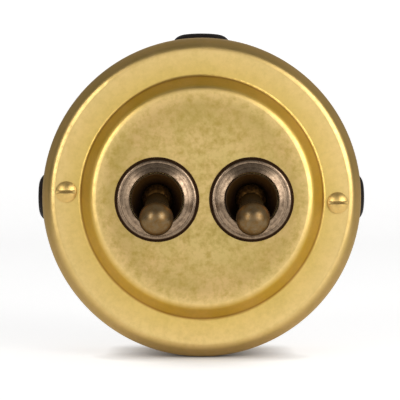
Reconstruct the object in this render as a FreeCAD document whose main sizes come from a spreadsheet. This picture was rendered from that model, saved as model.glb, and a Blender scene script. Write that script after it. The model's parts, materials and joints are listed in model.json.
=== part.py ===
"""Two-gang brass dolly switch for a wall: box, lid, two toggle switches and their insides."""
import FreeCAD, Part
import math
import os
import re
import Sketcher
from FreeCAD import Placement, Rotation, Vector

LEFT = 1
RIGHT = -1
ACROSS = Vector(1, 0, 0)
ROUND_ABOUT = Vector(0, 1, 0)

# Driving sizes in millimetres and degrees; heights are measured outwards from the wall.
SIZES = (
    ("lid_diameter", 100.0, "outside of the round lid"),
    ("lid_sheet", 2.0, "thickness of the pressed lid"),
    ("skirt_gap", 1.1, "top and bottom entries to the rear edge of the skirt"),
    ("lid_edge_radius", 2.6, "tight rounding from the rim into the side of the lid"),
    ("lid_edge_turn", 45.0, "lean of that side where the tight rounding ends"),
    ("lid_side_share", 0.71, "part of the skirt's height that is rounded"),
    ("lid_clearance", 0.3, "skirt to drum, on the radius"),
    ("rim_width", 12.2, "foot of the raised centre to the outside of the lid"),
    ("raise_height", 4.0, "raised centre above the rim"),
    ("raise_slope", 45.0, "lean of the raised centre's side"),
    ("raise_edge_radius", 3.0, "rounding at the top of that side"),
    ("raise_foot_radius", 1.0, "hollow rounding at its foot"),
    ("box_depth", 34.5, "wall to the mouth of the drum"),
    ("box_wall", 3.5, "drum wall"),
    ("box_floor", 3.0, "drum floor"),
    ("box_rear_radius", 2.0, "rounding of the drum's rear edge"),
    ("box_inner_radius", 2.5, "rounding between wall and floor"),
    ("entry_axis", 15.0, "wall to the axis of every conduit entry"),
    ("entry_stand", 1.8, "an entry's flat end beyond the drum"),
    ("entry_boss_wall", 2.4, "metal around an entry hole"),
    ("large_entry", 16.0, "top and bottom conduit holes"),
    ("small_entry", 12.0, "left and right conduit holes"),
    ("large_plug", 17.7, "head of the top plug"),
    ("small_plug", 14.8, "head of a side plug"),
    ("plug_head", 2.8, "height of a plug head"),
    ("plug_shoulder_width", 3.2, "rounded shoulder, across"),
    ("plug_shoulder_drop", 1.7, "rounded shoulder, along"),
    ("plug_shank", 5.5, "shank behind a plug head"),
    ("plug_clearance", 0.1, "shank to hole, on the radius"),
    ("fixing_spacing", 60.0, "between the two wall-fixing holes"),
    ("fixing_hole", 4.5, "wall-fixing hole"),
    ("lid_screw_inset", 8.0, "lid screw to the outside of the lid"),
    ("lid_screw_skew", 2.3, "turn of the screw line, left end up"),
    ("lid_screw", 3.5, "thread of a lid screw"),
    ("lid_screw_length", 9.5, "lid screw under its head"),
    ("lid_screw_head", 6.5, "lid screw head"),
    ("lid_screw_dome", 2.0, "height of that head"),
    ("screw_slot", 0.9, "width of every screw slot"),
    ("screw_edge", 0.8, "straight edge under a domed head"),
    ("screw_play", 0.2, "screw to a clearance hole, on the radius"),
    ("thread_play", 0.05, "screw to a tapped hole, on the radius"),
    ("post_diameter", 6.8, "post under a lid screw"),
    ("post_length", 10.0, "that post, from the mouth down"),
    ("tapped_depth", 9.0, "tapped hole in the post"),
    ("earth_across", 20.0, "earth screw, sideways from the middle"),
    ("earth_down", 27.0, "earth screw, below the middle"),
    ("earth_boss", 8.0, "boss under the earth screw"),
    ("earth_boss_height", 3.0, "that boss above the floor"),
    ("earth_screw", 3.5, "thread of the earth screw"),
    ("earth_screw_length", 5.0, "earth screw under its head"),
    ("earth_washer", 8.0, "washer under the earth screw"),
    ("earth_washer_thick", 0.8, "thickness of that washer"),
    ("gang_pitch", 29.0, "between the two dollies"),
    ("gang_aside", 0.6, "middle of the pair, right of the lid's middle"),
    ("gang_below", 0.65, "middle of the pair, below the lid's middle"),
    ("pivot_depth", 5.5, "dolly pivot behind the raised face"),
    ("dolly_throw", 40.0, "swing of a dolly from down to up"),
    ("dolly_reach", 16.5, "pivot to the middle of the ball tip"),
    ("dolly_ball", 10.3, "ball tip"),
    ("dolly_neck_front", 8.2, "neck at the ball tip"),
    ("dolly_neck_rear", 7.2, "neck at the hub"),
    ("dolly_neck_blend", 0.9, "hollow rounding from neck to ball tip"),
    ("dolly_hub", 10.2, "ball hub on the pivot"),
    ("dolly_tail", 5.8, "tail behind the hub"),
    ("dolly_tail_reach", 9.5, "pivot to the end of the tail"),
    ("dolly_bore_floor", 2.6, "pivot to the floor of the tail's bore"),
    ("pin_diameter", 2.4, "pivot pin"),
    ("pin_length", 17.6, "pivot pin, end to end"),
    ("pin_play", 0.05, "pin to the dolly, on the radius"),
    ("pin_fit", 0.02, "pin to the bush, on the radius"),
    ("bush_thread", 16.0, "threaded front of a bush"),
    ("bush_recess", 1.9, "front of the bush below the bezel's crown"),
    ("bush_mouth", 15.4, "funnel at the front"),
    ("bush_throat", 9.8, "funnel at its throat"),
    ("bush_throat_front", 2.2, "pivot to the throat"),
    ("bush_seat_play", 0.08, "hub to its seat, on the radius"),
    ("bush_spigot", 18.0, "rear spigot of a bush"),
    ("bush_spigot_reach", 4.5, "pivot to the rear end of the spigot"),
    ("bush_bore", 11.0, "bore behind the seat"),
    ("bush_flange", 2.0, "flange plate between lid and housing"),
    ("bush_flange_wide", 20.0, "flange plate, sideways"),
    ("bush_flange_tall", 28.0, "flange plate, upwards"),
    ("bush_flange_corner", 8.0, "rounded corners of the flange plate"),
    ("bush_hole_play", 0.15, "bush to the lid's hole, on the radius"),
    ("bezel_foot", 26.0, "foot of a bezel ring"),
    ("bezel_foot_height", 0.4, "height of that foot"),
    ("bezel_bead", 24.6, "outer bead of the ring"),
    ("bezel_bead_drop", 1.9, "outside of the bead below the crown"),
    ("bezel_bead_radius", 1.0, "rounding of the bead"),
    ("bezel_groove", 22.4, "groove between bead and crown"),
    ("bezel_groove_drop", 1.45, "groove below the crown"),
    ("bezel_crown_radius", 16.0, "slow rounding of the sloping crown"),
    ("bezel_hole", 16.4, "hole of the ring"),
    ("bezel_lip", 0.3, "bevel around the hole"),
    ("bezel_height", 2.8, "crown above the raised face"),
    ("plunger_diameter", 3.2, "spring plunger"),
    ("plunger_play", 0.1, "plunger to its bore, on the radius"),
    ("plunger_reach", 12.0, "pivot to the plunger's round tip"),
    ("plunger_length", 5.5, "plunger, end to end"),
    ("spring_wire", 0.4, "wire of the plunger spring"),
    ("spring_coil", 2.6, "middle of the wire, across the coil"),
    ("spring_pitch", 0.85, "turn to turn"),
    ("rocker_distance", 14.2, "dolly pivot to rocker pivot"),
    ("rocker_tilt", 7.0, "lean of the rocker at either end"),
    ("rocker_gap", 0.2, "plunger tip to the rocker's cradle"),
    ("rocker_wide", 5.0, "rocker, sideways"),
    ("rocker_sheet", 1.2, "rocker strip"),
    ("rocker_half", 10.6, "rocker pivot to the end of a wing"),
    ("rocker_wing", 3.9, "front of a wing before the rocker pivot"),
    ("trunnion_diameter", 2.4, "rocker trunnion"),
    ("trunnion_length", 8.6, "trunnion, end to end"),
    ("trunnion_play", 0.08, "trunnion to its bracket, on the radius"),
    ("button_diameter", 3.0, "contact button"),
    ("button_height", 1.0, "contact button behind the wing"),
    ("button_reach", 8.5, "rocker pivot to a button"),
    ("contact_gap", 0.15, "closed button to its contact post"),
    ("bracket_gap", 0.4, "rocker side to bracket cheek"),
    ("bracket_sheet", 1.2, "bracket cheek"),
    ("bracket_wide", 4.0, "bracket cheek, upwards"),
    ("bracket_above", 1.8, "bracket in front of the rocker pivot"),
    ("bracket_room", 0.5, "trunnion to the floor of the bracket"),
    ("stem_wide", 4.0, "stem of the common terminal, sideways"),
    ("stem_tall", 2.0, "stem of the common terminal, upwards"),
    ("terminal_wide", 8.0, "terminal block, sideways"),
    ("terminal_tall", 7.0, "terminal block, upwards"),
    ("terminal_deep", 5.5, "terminal block, outwards"),
    ("terminal_spacing", 10.2, "between neighbouring blocks"),
    ("wire_hole", 2.6, "hole for a wire"),
    ("wire_hole_depth", 2.0, "that hole behind the base"),
    ("clamp_screw", 2.5, "thread of a terminal screw"),
    ("clamp_screw_length", 2.4, "terminal screw under its head"),
    ("clamp_screw_head", 4.4, "terminal screw head"),
    ("clamp_screw_dome", 1.5, "height of that head"),
    ("housing_wide", 24.0, "switch housing, sideways"),
    ("housing_tall", 29.0, "switch housing, upwards"),
    ("housing_wall", 2.0, "side walls of the housing"),
    ("housing_front", 3.0, "front wall of the housing"),
    ("housing_corner", 6.0, "rounded corners of the housing"),
    ("spigot_play", 0.1, "spigot to the housing, on the radius"),
    ("base_thick", 3.0, "switch base"),
    ("slot_play", 0.1, "stem or post to the base, all round"),
    ("rivet_shank", 2.2, "rivet"),
    ("rivet_head", 4.0, "rivet head"),
    ("rivet_head_height", 0.8, "height of a rivet head"),
    ("rivet_across", 8.2, "rivet, sideways from the dolly"),
    ("rivet_up", 10.8, "rivet, upwards from the dolly"),
    ("rivet_play", 0.05, "rivet to its hole, on the radius"),
    ("rivet_column", 4.8, "column around a rivet"),
)

doc = FreeCAD.newDocument("dolly_switch")
sheet = doc.addObject("Spreadsheet::Sheet", "Sizes")
for row, (alias, value, meaning) in enumerate(SIZES, start=1):
    sheet.set(f"A{row}", meaning)
    sheet.set(f"B{row}", str(value))
    sheet.setAlias(f"B{row}", alias)
doc.recompute()
NAMES = {alias for alias, value, meaning in SIZES}

# Places that several pieces share, written in the words of the sheet.
RIM = "(box_depth + lid_sheet)"
FACE = f"({RIM} + raise_height)"
PIVOT = f"({FACE} - pivot_depth)"
DRUM = "(lid_diameter / 2 - lid_sheet - lid_clearance)"
RAISE = "(lid_diameter / 2 - rim_width)"
SKIRT_REAR = "(entry_axis + large_entry / 2 + entry_boss_wall + skirt_gap)"
EDGE_DROP = "(lid_edge_radius * (1 - cos(lid_edge_turn)))"
SIDE_DROP = f"(lid_side_share * ({RIM} - {SKIRT_REAR}))"
SIDE_RADIUS = f"(({SIDE_DROP} - {EDGE_DROP}) / cos(lid_edge_turn))"
SIDE_START = f"({RIM} - {SIDE_DROP})"
SIDE_MIDDLE = f"(lid_diameter / 2 - {SIDE_RADIUS})"
ENTRY_END = f"({DRUM} + entry_stand)"
SCREW_CIRCLE = "(lid_diameter / 2 - lid_screw_inset)"
SCREW_ACROSS = f"({SCREW_CIRCLE} * cos(lid_screw_skew))"
SCREW_UP = f"({SCREW_CIRCLE} * sin(lid_screw_skew))"
EARTH_TOP = "(box_floor + earth_boss_height)"
FLANGE_REAR = "(pivot_depth - lid_sheet - bush_flange)"
HOUSING_REAR = "(-rocker_distance - trunnion_diameter / 2 - bracket_room - bracket_sheet)"
HOUSING_DEPTH = f"({FLANGE_REAR} - {HOUSING_REAR})"
BASE_REAR = f"({HOUSING_REAR} - base_thick)"
BLOCK_REAR = f"({BASE_REAR} - terminal_deep)"
CROWN = "(pivot_depth + bezel_height)"
GANG_UP = "(-gang_below)"


def bound(text):
    """Point each size name in an expression at its cell of the sheet."""
    def cell(found):
        word = found.group()
        return "Sizes." + word if word in NAMES else word
    return re.sub(r"[a-z_]+", cell, text)


def number(text):
    """Present value of an expression."""
    return float(sheet.evalExpression(bound(text)))


def new_body(label):
    """Empty body for one piece."""
    made = doc.addObject("PartDesign::Body", label)
    made.Label = label
    return made


def place(piece, across="0", out="0", up="0", axis=ACROSS, angle="90"):
    """Stand a piece in the wall frame: its own z axis points out of the wall unless turned."""
    piece.Placement = Placement(Vector(), Rotation(axis, number(angle)))
    piece.setExpression("Placement.Base.x", bound(across))
    piece.setExpression("Placement.Base.y", bound(f"-({out})"))
    piece.setExpression("Placement.Base.z", bound(up))
    piece.setExpression("Placement.Rotation.Angle", bound(angle))


def sketch(body, plane, offset="0"):
    """Sketch on an origin plane of the body, moved along that plane's normal."""
    made = body.newObject("Sketcher::SketchObject", body.Name + "_sketch")
    support = [part for part in body.Origin.OriginFeatures if part.Role == plane]
    made.AttachmentSupport = [(support[0], "")]
    made.MapMode = "FlatFace"
    made.setExpression("AttachmentOffset.Base.z", bound(offset))
    return made


def fix_point(drawn, edge, point, across, along):
    """Hold one point of a sketch by its two distances from the sketch's origin."""
    for kind, text in (("DistanceX", across), ("DistanceY", along)):
        made = drawn.addConstraint(Sketcher.Constraint(kind, -1, 1, edge, point, number(text)))
        drawn.setExpression(f"Constraints[{made}]", bound(text))


def fix_radius(drawn, edge, radius):
    """Hold the radius of a circle or an arc."""
    made = drawn.addConstraint(Sketcher.Constraint("Radius", edge, number(radius)))
    drawn.setExpression(f"Constraints[{made}]", bound(radius))


def arc_between(start, end, radius, turn):
    """Arc from start to end whose centre lies on the side that the path turns to."""
    chord = end - start
    side = Vector(-chord.y, chord.x, 0).normalize()
    height = math.sqrt(max(radius ** 2 - (chord.Length / 2) ** 2, 0))
    centre = (start + end) * 0.5 + side * height * turn
    first, last = (start, end) if turn == LEFT else (end, start)
    begin = math.atan2(first.y - centre.y, first.x - centre.x)
    finish = math.atan2(last.y - centre.y, last.x - centre.x)
    if finish < begin:
        finish += 2 * math.pi
    return Part.ArcOfCircle(Part.Circle(centre, Vector(0, 0, 1), radius), begin, finish)


def outline(drawn, corners):
    """Closed outline; a corner with a radius and a turn starts an arc, any other a line."""
    points = [Vector(number(corner[0]), number(corner[1]), 0) for corner in corners]
    count = len(corners)
    edges = []
    for place_in_row, corner in enumerate(corners):
        start = points[place_in_row]
        end = points[(place_in_row + 1) % count]
        if len(corner) == 2:
            shape = Part.LineSegment(start, end)
            ends = (1, 2)
        else:
            shape = arc_between(start, end, number(corner[2]), corner[3])
            ends = (1, 2) if corner[3] == LEFT else (2, 1)
        edges.append((drawn.addGeometry(shape, False), ends))
    for place_in_row, corner in enumerate(corners):
        edge, ends = edges[place_in_row]
        next_edge, next_ends = edges[(place_in_row + 1) % count]
        drawn.addConstraint(Sketcher.Constraint("Coincident", edge, ends[1], next_edge, next_ends[0]))
        fix_point(drawn, edge, ends[0], corner[0], corner[1])
        if len(corner) > 2:
            fix_radius(drawn, edge, corner[2])


def circle(drawn, across, along, radius):
    """Circle in a sketch."""
    middle = Vector(number(across), number(along), 0)
    edge = drawn.addGeometry(Part.Circle(middle, Vector(0, 0, 1), number(radius)), False)
    fix_point(drawn, edge, 3, across, along)
    fix_radius(drawn, edge, radius)


def rectangle(drawn, wide, tall, along="0"):
    """Square-cornered rectangle in a sketch, centred sideways."""
    outline(drawn, (
        (f"-({wide}) / 2", f"{along} - ({tall}) / 2"),
        (f"({wide}) / 2", f"{along} - ({tall}) / 2"),
        (f"({wide}) / 2", f"{along} + ({tall}) / 2"),
        (f"-({wide}) / 2", f"{along} + ({tall}) / 2"),
    ))


def rounded_rectangle(drawn, wide, tall, corner):
    """Rectangle with round corners, centred in a sketch."""
    side = f"({wide}) / 2"
    top = f"({tall}) / 2"
    outline(drawn, (
        (f"{corner} - {side}", f"-{top}"),
        (f"{side} - ({corner})", f"-{top}", corner, LEFT),
        (side, f"{corner} - {top}"),
        (side, f"{top} - ({corner})", corner, LEFT),
        (f"{side} - ({corner})", top),
        (f"{corner} - {side}", top, corner, LEFT),
        (f"-{side}", f"{top} - ({corner})"),
        (f"-{side}", f"{corner} - {top}", corner, LEFT),
    ))


def turn_solid(body, corners):
    """Solid of revolution about the body's z axis; corners are radius and height."""
    drawn = sketch(body, "XZ_Plane")
    outline(drawn, corners)
    made = body.newObject("PartDesign::Revolution", body.Name + "_turned")
    made.Profile = drawn
    made.ReferenceAxis = (drawn, ["V_Axis"])
    made.Angle = 360
    return made


def pad(body, drawn, length, back=False):
    """Raise a sketch along its normal, or back along it."""
    made = body.newObject("PartDesign::Pad", body.Name + "_pad")
    made.Profile = drawn
    made.setExpression("Length", bound(length))
    made.Reversed = back
    return made


def cut(body, drawn, length, forward=False):
    """Sink a sketch against its normal, or forward along it."""
    made = body.newObject("PartDesign::Pocket", body.Name + "_pocket")
    made.Profile = drawn
    made.setExpression("Length", bound(length))
    made.Reversed = forward
    return made


def cross_hole(body, height, radius, reach):
    """Hole straight through the body along its x axis."""
    drawn = sketch(body, "YZ_Plane", reach)
    circle(drawn, "0", height, radius)
    cut(body, drawn, f"2 * ({reach})")


def slotted_screw(label, thread, length, head, dome):
    """Round-headed screw with a slot, standing on the seat under its head."""
    body = new_body(label)
    rise = f"({dome} - screw_edge)"
    turn_solid(body, (
        ("0", dome, f"(({head} / 2) ^ 2 + {rise} ^ 2) / (2 * {rise})", RIGHT),
        (f"{head} / 2", "screw_edge"),
        (f"{head} / 2", "0"),
        (f"{thread} / 2", "0"),
        (f"{thread} / 2", f"{thread} / 5 - {length}"),
        (f"{thread} / 3", f"-{length}"),
        ("0", f"-{length}"),
    ))
    slot = sketch(body, "XY_Plane", dome)
    rectangle(slot, f"{head} * 1.2", "screw_slot")
    cut(body, slot, f"{dome} / 2")
    return body


def group(label, members):
    """One node for identical fasteners."""
    made = doc.addObject("Part::Compound", label)
    made.Label = label
    made.Links = members
    return made


def make_box():
    """Cast drum with four conduit entries, lid posts, earth boss and wall-fixing holes."""
    body = new_body("back_box")
    mouth = f"({SIDE_RADIUS} - lid_sheet - lid_clearance)"
    mouth_across = f"({SIDE_MIDDLE} + {mouth} * sin(lid_edge_turn))"
    mouth_front = f"({SIDE_START} + {mouth} * cos(lid_edge_turn))"
    turn_solid(body, (
        ("0", "0"),
        (f"{DRUM} - box_rear_radius", "0", "box_rear_radius", LEFT),
        (DRUM, "box_rear_radius"),
        (DRUM, SIDE_START, mouth, LEFT),
        (mouth_across, mouth_front),
        (f"{mouth_across} - (box_depth - {mouth_front}) / tan(lid_edge_turn)", "box_depth"),
        (f"{DRUM} - box_wall", "box_depth"),
        (f"{DRUM} - box_wall", "box_floor + box_inner_radius", "box_inner_radius", RIGHT),
        (f"{DRUM} - box_wall - box_inner_radius", "box_floor"),
        ("0", "box_floor"),
    ))
    root = f"({DRUM} - box_wall / 2)"
    # The sketch normals of the four sides: the upright plane looks down, the side plane to the right.
    sides = (
        ("XZ_Plane", "large_entry", -1),
        ("XZ_Plane", "large_entry", 1),
        ("YZ_Plane", "small_entry", -1),
        ("YZ_Plane", "small_entry", 1),
    )
    for plane, entry, way in sides:
        boss = sketch(body, plane, f"{way} * {root}")
        circle(boss, "0", "entry_axis", f"{entry} / 2 + entry_boss_wall")
        pad(body, boss, f"{ENTRY_END} - {root}", back=way < 0)
    for plane, entry, way in sides:
        hole = sketch(body, plane)
        circle(hole, "0", "entry_axis", f"{entry} / 2")
        cut(body, hole, f"{ENTRY_END} * 1.1", forward=way > 0)
    posts = sketch(body, "XY_Plane", "box_depth - post_length")
    tapped = sketch(body, "XY_Plane", "box_depth")
    for way in ("-", ""):
        opposite = "" if way else "-"
        circle(posts, way + SCREW_ACROSS, opposite + SCREW_UP, "post_diameter / 2")
        circle(tapped, way + SCREW_ACROSS, opposite + SCREW_UP, "lid_screw / 2 + thread_play")
    pad(body, posts, "post_length")
    cut(body, tapped, "tapped_depth")
    earth = sketch(body, "XY_Plane", "box_floor / 2")
    circle(earth, "earth_across", "-earth_down", "earth_boss / 2")
    pad(body, earth, "box_floor / 2 + earth_boss_height")
    earth_hole = sketch(body, "XY_Plane", EARTH_TOP)
    circle(earth_hole, "earth_across", "-earth_down", "earth_screw / 2 + thread_play")
    cut(body, earth_hole, "earth_screw_length")
    fixings = sketch(body, "XY_Plane", "box_floor")
    circle(fixings, "0", "fixing_spacing / 2", "fixing_hole / 2")
    circle(fixings, "0", "-fixing_spacing / 2", "fixing_hole / 2")
    cut(body, fixings, "box_floor * 1.1")
    place(body)
    return body


def make_lid():
    """Pressed lid: rounded skirt, flat rim and raised centre of one sheet."""
    body = new_body("lid")
    outside = "lid_diameter / 2"
    foot = "raise_foot_radius * tan(raise_slope / 2)"
    foot_middle = f"({RAISE} + {foot})"
    side_height = "(raise_height - raise_edge_radius * (1 - cos(raise_slope)))"
    top = f"({RAISE} - {side_height} / tan(raise_slope) - raise_edge_radius * sin(raise_slope))"
    edge_start = f"({SIDE_MIDDLE} + ({SIDE_RADIUS} - lid_edge_radius) * sin(lid_edge_turn))"
    inner_side = f"({SIDE_RADIUS} - lid_sheet)"
    inner_edge = "(raise_edge_radius - lid_sheet)"
    outer_foot = "(raise_foot_radius + lid_sheet)"
    edge_middle = f"{FACE} - raise_edge_radius"
    turn_solid(body, (
        ("0", FACE),
        (top, FACE, "raise_edge_radius", RIGHT),
        (f"{top} + raise_edge_radius * sin(raise_slope)",
         f"{edge_middle} + raise_edge_radius * cos(raise_slope)"),
        (f"{foot_middle} - raise_foot_radius * sin(raise_slope)",
         f"{RIM} + raise_foot_radius * (1 - cos(raise_slope))", "raise_foot_radius", LEFT),
        (foot_middle, RIM),
        (edge_start, RIM, "lid_edge_radius", RIGHT),
        (f"{SIDE_MIDDLE} + {SIDE_RADIUS} * sin(lid_edge_turn)", f"{RIM} - {EDGE_DROP}", SIDE_RADIUS, RIGHT),
        (outside, SIDE_START),
        (outside, SKIRT_REAR),
        (f"{outside} - lid_sheet", SKIRT_REAR),
        (f"{outside} - lid_sheet", SIDE_START, inner_side, LEFT),
        (f"{SIDE_MIDDLE} + {inner_side} * sin(lid_edge_turn)",
         f"{SIDE_START} + {inner_side} * cos(lid_edge_turn)", "lid_edge_radius - lid_sheet", LEFT),
        (edge_start, f"{RIM} - lid_sheet"),
        (foot_middle, f"{RIM} - lid_sheet", outer_foot, RIGHT),
        (f"{foot_middle} - {outer_foot} * sin(raise_slope)",
         f"{RIM} + raise_foot_radius - {outer_foot} * cos(raise_slope)"),
        (f"{top} + {inner_edge} * sin(raise_slope)", f"{edge_middle} + {inner_edge} * cos(raise_slope)",
         inner_edge, LEFT),
        (top, f"{FACE} - lid_sheet"),
        ("0", f"{FACE} - lid_sheet"),
    ))
    bush_holes = sketch(body, "XY_Plane", FACE)
    circle(bush_holes, "gang_aside - gang_pitch / 2", GANG_UP, "bush_thread / 2 + bush_hole_play")
    circle(bush_holes, "gang_aside + gang_pitch / 2", GANG_UP, "bush_thread / 2 + bush_hole_play")
    cut(body, bush_holes, "lid_sheet * 1.5")
    screw_holes = sketch(body, "XY_Plane", RIM)
    circle(screw_holes, "-" + SCREW_ACROSS, SCREW_UP, "lid_screw / 2 + screw_play")
    circle(screw_holes, SCREW_ACROSS, "-" + SCREW_UP, "lid_screw / 2 + screw_play")
    cut(body, screw_holes, "lid_sheet * 1.5")
    place(body)
    return body


def make_lid_screws():
    """Two domed screws that hold the lid to the posts of the box."""
    members = []
    for name, way, opposite in (("left_lid_screw", "-", ""), ("right_lid_screw", "", "-")):
        screw = slotted_screw(name, "lid_screw", "lid_screw_length", "lid_screw_head", "lid_screw_dome")
        place(screw, way + SCREW_ACROSS, RIM, opposite + SCREW_UP)
        members.append(screw)
    return group("lid_screws", members)


def make_plug(label, entry, head):
    """Stopper for a conduit entry: round head with a rounded shoulder, and a shank."""
    body = new_body(label)
    shank = f"{entry} / 2 - plug_clearance"
    turn_solid(body, (
        ("0", "plug_head"),
        (f"{head} / 2 - plug_shoulder_width", "plug_head",
         "(plug_shoulder_width ^ 2 + plug_shoulder_drop ^ 2) / (2 * plug_shoulder_drop)", RIGHT),
        (f"{head} / 2", "plug_head - plug_shoulder_drop"),
        (f"{head} / 2", "0"),
        (shank, "0"),
        (shank, "-plug_shank"),
        ("0", "-plug_shank"),
    ))
    return body


def make_plugs():
    """Stoppers in the top, left and right entries; the bottom entry stays open."""
    top = make_plug("top_plug", "large_entry", "large_plug")
    place(top, "0", "entry_axis", ENTRY_END, ACROSS, "0")
    left = make_plug("left_plug", "small_entry", "small_plug")
    place(left, "-" + ENTRY_END, "entry_axis", "0", ROUND_ABOUT, "-90")
    right = make_plug("right_plug", "small_entry", "small_plug")
    place(right, ENTRY_END, "entry_axis", "0", ROUND_ABOUT, "90")
    return [top, left, right]


def make_earth():
    """Earth screw on the box floor, with its washer."""
    washer = new_body("earth_washer")
    drawn = sketch(washer, "XY_Plane")
    circle(drawn, "0", "0", "earth_washer / 2")
    circle(drawn, "0", "0", "earth_screw / 2 + screw_play")
    pad(washer, drawn, "earth_washer_thick")
    place(washer, "earth_across", EARTH_TOP, "-earth_down")
    length = "(earth_screw_length + earth_washer_thick / 2)"
    screw = slotted_screw("earth_screw", "earth_screw", length, "lid_screw_head", "lid_screw_dome")
    place(screw, "earth_across", f"{EARTH_TOP} + earth_washer_thick", "-earth_down")
    return [washer, screw]


def make_bezel(side, across):
    """Ring nut on the face of the lid: foot, outer bead, groove and rounded crown."""
    body = new_body(f"bezel_{side}")
    turn_solid(body, (
        ("bezel_hole / 2", "pivot_depth"),
        ("bezel_foot / 2", "pivot_depth"),
        ("bezel_foot / 2", "pivot_depth + bezel_foot_height"),
        ("bezel_bead / 2", "pivot_depth + bezel_foot_height"),
        ("bezel_bead / 2", f"{CROWN} - bezel_bead_drop", "bezel_bead_radius", LEFT),
        ("bezel_groove / 2", f"{CROWN} - bezel_groove_drop", "bezel_crown_radius", LEFT),
        ("bezel_hole / 2 + bezel_lip", CROWN),
        ("bezel_hole / 2", f"{CROWN} - bezel_lip"),
    ))
    place(body, across, PIVOT, GANG_UP)
    return body


def make_bush(side, across):
    """Threaded tube with a funnel, a seat for the hub, a flange plate and a rear spigot."""
    body = new_body(f"bush_{side}")
    seat = "(dolly_hub / 2 + bush_seat_play)"
    turn_solid(body, (
        ("bush_mouth / 2", f"{CROWN} - bush_recess"),
        ("bush_thread / 2", f"{CROWN} - bush_recess"),
        ("bush_thread / 2", FLANGE_REAR),
        ("bush_spigot / 2", FLANGE_REAR),
        ("bush_spigot / 2", "-bush_spigot_reach"),
        ("bush_bore / 2", "-bush_spigot_reach"),
        ("bush_bore / 2", "0"),
        (seat, "0", seat, LEFT),
        ("bush_throat / 2", f"sqrt({seat} ^ 2 - (bush_throat / 2) ^ 2)"),
        ("bush_throat / 2", "bush_throat_front"),
    ))
    plate = sketch(body, "XY_Plane", FLANGE_REAR)
    rounded_rectangle(plate, "bush_flange_wide", "bush_flange_tall", "bush_flange_corner")
    circle(plate, "0", "0", "(bush_thread + bush_throat) / 4")
    pad(body, plate, "bush_flange")
    cross_hole(body, "0", "pin_diameter / 2 + pin_fit", "bush_spigot * 0.7")
    place(body, across, PIVOT, GANG_UP)
    return body


def make_dolly(side, across):
    """Lever turned in one piece: ball tip, tapered neck, ball hub and bored tail."""
    body = new_body(f"dolly_{side}")
    ball = "(dolly_ball / 2)"
    hub = "(dolly_hub / 2)"
    neck = "(dolly_neck_front / 2)"
    junction = f"dolly_reach - sqrt({ball} ^ 2 - {neck} ^ 2)"
    bore = "plunger_diameter / 2 + plunger_play"
    turned = turn_solid(body, (
        ("0", f"dolly_reach + {ball}", ball, RIGHT),
        (neck, junction),
        ("dolly_neck_rear / 2", f"sqrt({hub} ^ 2 - (dolly_neck_rear / 2) ^ 2)", hub, RIGHT),
        ("dolly_tail / 2", f"-sqrt({hub} ^ 2 - (dolly_tail / 2) ^ 2)"),
        ("dolly_tail / 2", "-dolly_tail_reach"),
        (bore, "-dolly_tail_reach"),
        (bore, "-dolly_bore_floor"),
        ("0", "-dolly_bore_floor"),
    ))
    doc.recompute()
    height = number(junction)
    ring = [
        f"Edge{place_in_row}"
        for place_in_row, edge in enumerate(turned.Shape.Edges, start=1)
        if abs(edge.BoundBox.ZMin - height) < 1e-4 and abs(edge.BoundBox.ZMax - height) < 1e-4
    ]
    blend = body.newObject("PartDesign::Fillet", body.Name + "_blend")
    blend.Base = (turned, ring)
    blend.setExpression("Radius", bound("dolly_neck_blend"))
    cross_hole(body, "0", "pin_diameter / 2 + pin_play", "dolly_hub")
    place(body, across, PIVOT, GANG_UP, ACROSS, "90 + dolly_throw / 2")
    return body


def make_plunger(side, across):
    """Round-tipped plunger that slides in the dolly's tail."""
    body = new_body(f"plunger_{side}")
    tip = "plunger_diameter / 2"
    turn_solid(body, (
        ("0", "plunger_length - plunger_reach"),
        (tip, "plunger_length - plunger_reach"),
        (tip, f"{tip} - plunger_reach", tip, RIGHT),
        ("0", "-plunger_reach"),
    ))
    place(body, across, PIVOT, GANG_UP, ACROSS, "90 + dolly_throw / 2")
    return body


def make_spring(side, across):
    """Coil spring between the plunger and the floor of the tail's bore."""
    body = new_body(f"plunger_spring_{side}")
    wire = "spring_wire / 2"
    drawn = sketch(body, "XZ_Plane")
    circle(drawn, "spring_coil / 2", f"plunger_length - plunger_reach + {wire}", wire)
    coil = body.newObject("PartDesign::AdditiveHelix", body.Name + "_coil")
    coil.Profile = drawn
    coil.ReferenceAxis = (drawn, ["V_Axis"])
    coil.Mode = 0
    coil.setExpression("Pitch", bound("spring_pitch"))
    coil.setExpression("Height", bound("plunger_reach - plunger_length - dolly_bore_floor - spring_wire"))
    place(body, across, PIVOT, GANG_UP, ACROSS, "90 + dolly_throw / 2")
    return body


def make_pin(side, across):
    """Pivot pin across the bush and through the hub."""
    body = new_body(f"pivot_pin_{side}")
    drawn = sketch(body, "YZ_Plane", "-pin_length / 2")
    circle(drawn, "0", "0", "pin_diameter / 2")
    pad(body, drawn, "pin_length")
    place(body, across, PIVOT, GANG_UP)
    return body


# The plunger tip, seen from the rocker, runs on this arc while both swing from end to end.
TIP_ACROSS = "(plunger_reach * sin(dolly_throw / 2))"
TIP_FRONT = "(rocker_distance - plunger_reach * cos(dolly_throw / 2))"
TIP_ALONG = f"({TIP_ACROSS} * cos(rocker_tilt) - {TIP_FRONT} * sin(rocker_tilt))"
TIP_REAR = f"({TIP_ACROSS} * sin(rocker_tilt) + {TIP_FRONT} * cos(rocker_tilt))"
TIP_SAG = f"({TIP_REAR} - rocker_distance + plunger_reach)"
TIP_RADIUS = f"(({TIP_ALONG} ^ 2 + {TIP_SAG} ^ 2) / (2 * {TIP_SAG}))"
CRADLE = f"({TIP_RADIUS} + rocker_gap)"
CRADLE_MIDDLE = f"(rocker_distance - plunger_reach + {TIP_RADIUS})"
BUTTON_FRONT = "(rocker_wing - rocker_sheet - button_height)"
CONTACT_UP = f"(button_reach * cos(rocker_tilt) + {BUTTON_FRONT} * sin(rocker_tilt))"
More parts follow.
